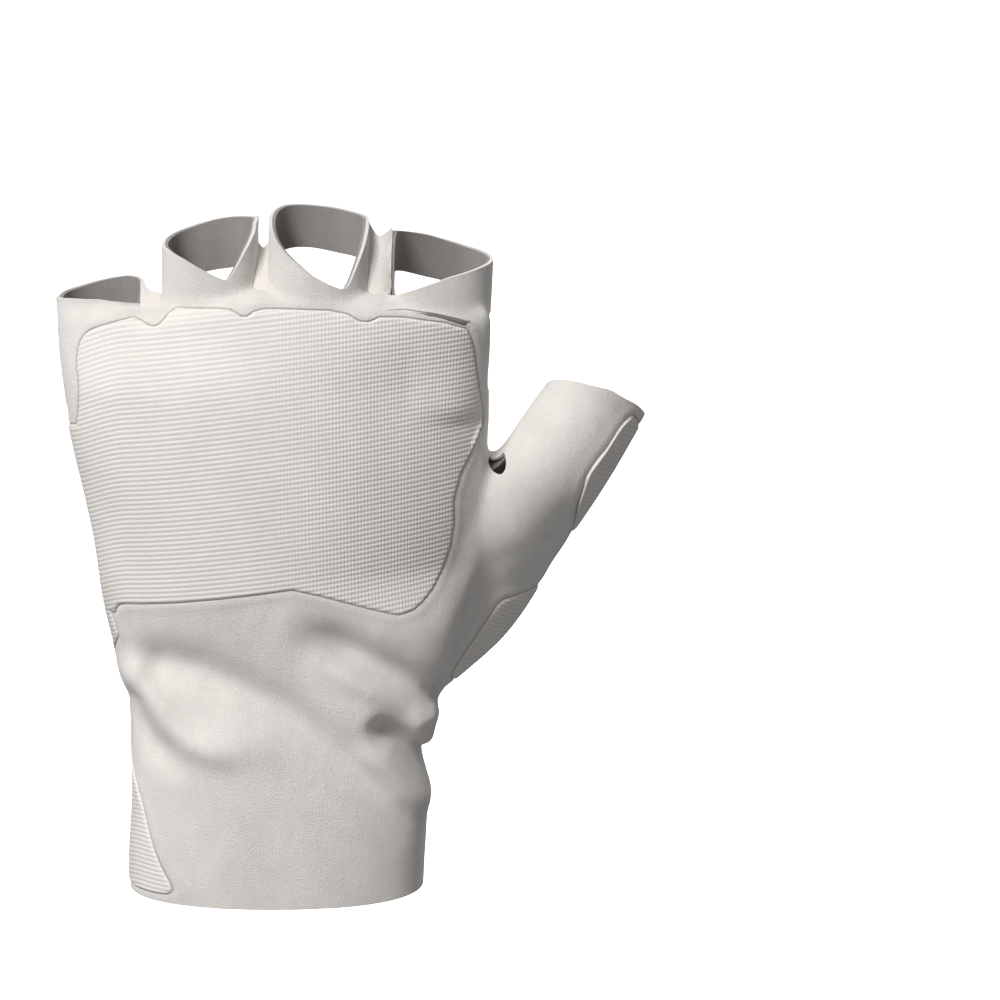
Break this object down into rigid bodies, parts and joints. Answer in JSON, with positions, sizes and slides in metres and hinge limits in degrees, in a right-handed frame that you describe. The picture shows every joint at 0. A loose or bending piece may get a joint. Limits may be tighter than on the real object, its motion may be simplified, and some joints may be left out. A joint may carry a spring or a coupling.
{
  "type": "climbing glove",
  "caption": "Open-palm suede climbing glove for the left hand, with a ribbed rubber back, short finger loops, a thumb sleeve and a cuff with a strap and pile closure.",
  "frame": {"origin": "centre of the wrist opening, in the plane of the cuff's hem on the back of the hand", "axes": "+Z along the hand towards the fingers, -Y out of the back of the hand, +X towards the thumb"},
  "size_m": [0.1429, 0.0469, 0.1698],
  "materials": {
    "suede": "suede",
    "lining": "matte knit",
    "grip_rubber": "ribbed matte",
    "tape": "matte",
    "web_tape": "matte",
    "pile": "looped pile",
    "strap": "smooth matte"
  },
  "bodies": {
    "root": {"suede_shell": "suede", "lining": "lining", "grip_panel": "grip_rubber", "thumb_patch": "grip_rubber", "palm_binding": "tape", "loop_patch": "pile", "strap_tab": "strap", "web_strip_index": "web_tape", "web_strip_middle": "web_tape", "web_strip_ring": "web_tape"}
  },
  "joints": []
}
